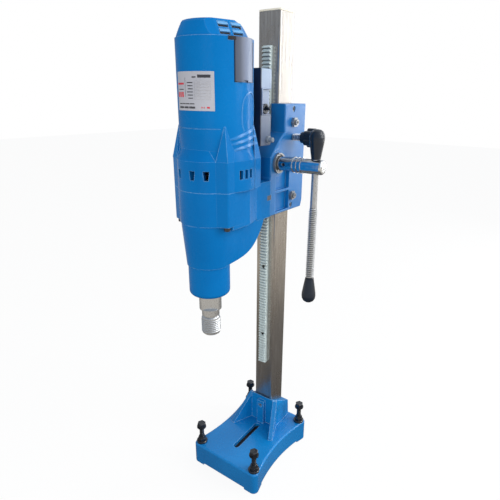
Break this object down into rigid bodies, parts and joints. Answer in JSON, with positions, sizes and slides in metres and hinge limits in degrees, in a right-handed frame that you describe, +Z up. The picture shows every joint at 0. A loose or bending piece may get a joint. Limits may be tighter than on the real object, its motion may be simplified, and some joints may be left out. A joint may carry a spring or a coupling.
{
  "type": "core drill rig",
  "caption": "Core drill rig: cast base with a square column and rack, sliding carriage with hand feed, electric motor and gearbox with a threaded spindle.",
  "frame": {"origin": "underside of the base on the column's axis", "axes": "+Z up along the column, -Y towards the drill, +X towards the feed bar"},
  "size_m": [0.2184, 0.2815, 0.912],
  "materials": {
    "blue_casting": "gloss",
    "base_casting": "gloss",
    "column_steel": "brushed",
    "rack_steel": "bright",
    "cap_cream": "satin",
    "black_steel": "black oxide",
    "chrome": "polished",
    "bright_steel": "machined",
    "grip_black": "matt",
    "grey_plastic": "matt",
    "label": "satin",
    "dark_cover": "satin",
    "light_grey": "satin",
    "gland_grey": "satin",
    "bronze": "machined",
    "gear_steel": "ground",
    "copper": "enamelled",
    "lamination": "varnished",
    "carbon": "matt",
    "seal_rubber": "matt",
    "cast_grey": "cast"
  },
  "bodies": {
    "stand": {"base": "base_casting", "socket_screw": "bright_steel", "column": "column_steel", "column_cap": "cap_cream", "rack": "rack_steel", "rack_screws": "black_steel", "jam_nuts": "black_steel"},
    "level_fl": {"levelling_bolt_fl": "black_steel"},
    "level_fr": {"levelling_bolt_fr": "black_steel"},
    "level_bl": {"levelling_bolt_bl": "black_steel"},
    "level_br": {"levelling_bolt_br": "black_steel"},
    "carriage": {"carriage": "blue_casting", "guide_pads": "bronze", "pad_screws": "bright_steel", "pad_nuts": "bright_steel", "flange_key": "bright_steel", "feed_bushes": "chrome", "gearbox": "blue_casting", "gearbox_cover": "cast_grey", "gearbox_screws": "black_steel", "mount_bolts": "black_steel", "spindle_bearings": "bright_steel", "spindle_seal": "seal_rubber", "layshaft_bearings": "bright_steel", "motor_housing": "blue_casting", "brush_covers": "grey_plastic", "rating_plate": "label", "motor_cap": "blue_casting", "motor_bearings": "bright_steel", "stator_core": "lamination", "stator_coils": "copper", "brush_holders": "bronze", "carbon_brushes": "carbon", "switch_box": "light_grey", "switch_cover": "dark_cover", "switch_spacers": "bright_steel", "toggle_bezel": "grip_black", "cable_gland": "gland_grey"},
    "feed": {"feed_shaft": "gear_steel", "feed_ring": "black_steel", "feed_hub": "chrome", "hub_screw": "black_steel"},
    "handle": {"feed_bar": "bright_steel", "bar_grips": "grip_black"},
    "lock": {"lock_stud": "bright_steel", "lock_knob": "grip_black"},
    "lock_pad": {"lock_pad": "bronze"},
    "armature": {"armature_shaft": "gear_steel", "armature_core": "lamination", "armature_windings": "copper", "commutator": "copper", "motor_fan": "light_grey"},
    "layshaft": {"layshaft": "gear_steel", "layshaft_gear": "gear_steel"},
    "spindle": {"spindle": "bright_steel", "spindle_key": "gear_steel", "spindle_gear": "gear_steel"},
    "toggle": {"switch_toggle": "grip_black"}
  },
  "joints": [
    {"name": "carriage_slide", "type": "slide", "parent": "stand", "child": "carriage", "axis": [0, 0, 1], "range_m": [-0.35, 0.14]},
    {"name": "feed_turn", "type": "hinge", "parent": "carriage", "child": "feed", "pos_m": [0, -0.049, 0.6605], "axis": [1, 0, 0], "range_deg": [-450, 1120]},
    {"name": "bar_slide", "type": "slide", "parent": "feed", "child": "handle", "axis": [0, 0, 1], "range_m": [0, 0.055]},
    {"name": "lock_turn", "type": "hinge", "parent": "carriage", "child": "lock", "pos_m": [0.06, 0, 0.703], "axis": [1, 0, 0], "range_deg": [-140, 0]},
    {"name": "lock_pad_slide", "type": "slide", "parent": "carriage", "child": "lock_pad", "axis": [1, 0, 0], "range_m": [-0.0006, 0]},
    {"name": "armature_turn", "type": "hinge", "parent": "carriage", "child": "armature", "pos_m": [0, -0.168, 0.72], "axis": [0, 0, 1], "continuous": true},
    {"name": "layshaft_turn", "type": "hinge", "parent": "carriage", "child": "layshaft", "pos_m": [0, -0.146, 0.58], "axis": [0, 0, 1], "continuous": true},
    {"name": "spindle_turn", "type": "hinge", "parent": "carriage", "child": "spindle", "pos_m": [0, -0.1955, 0.5], "axis": [0, 0, 1], "continuous": true},
    {"name": "toggle_tilt", "type": "hinge", "parent": "carriage", "child": "toggle", "pos_m": [0.033, -0.083, 0.753], "axis": [0, 1, 0], "range_deg": [-14, 14]},
    {"name": "level_fl", "type": "slide", "parent": "stand", "child": "level_fl", "axis": [0, 0, 1], "range_m": [-0.012, 0.008]},
    {"name": "level_fr", "type": "slide", "parent": "stand", "child": "level_fr", "axis": [0, 0, 1], "range_m": [-0.012, 0.008]},
    {"name": "level_br", "type": "slide", "parent": "stand", "child": "level_br", "axis": [0, 0, 1], "range_m": [-0.012, 0.008]},
    {"name": "level_bl", "type": "slide", "parent": "stand", "child": "level_bl", "axis": [0, 0, 1], "range_m": [-0.012, 0.008]}
  ],
  "couplings": [
    {"joint": "feed_turn", "follows": "carriage_slide", "rad_per_m": -55.556},
    {"joint": "lock_pad_slide", "follows": "lock_turn", "m_per_rad": 0.00023873},
    {"joint": "layshaft_turn", "follows": "armature_turn", "ratio": -0.375},
    {"joint": "spindle_turn", "follows": "armature_turn", "ratio": 0.1301}
  ]
}
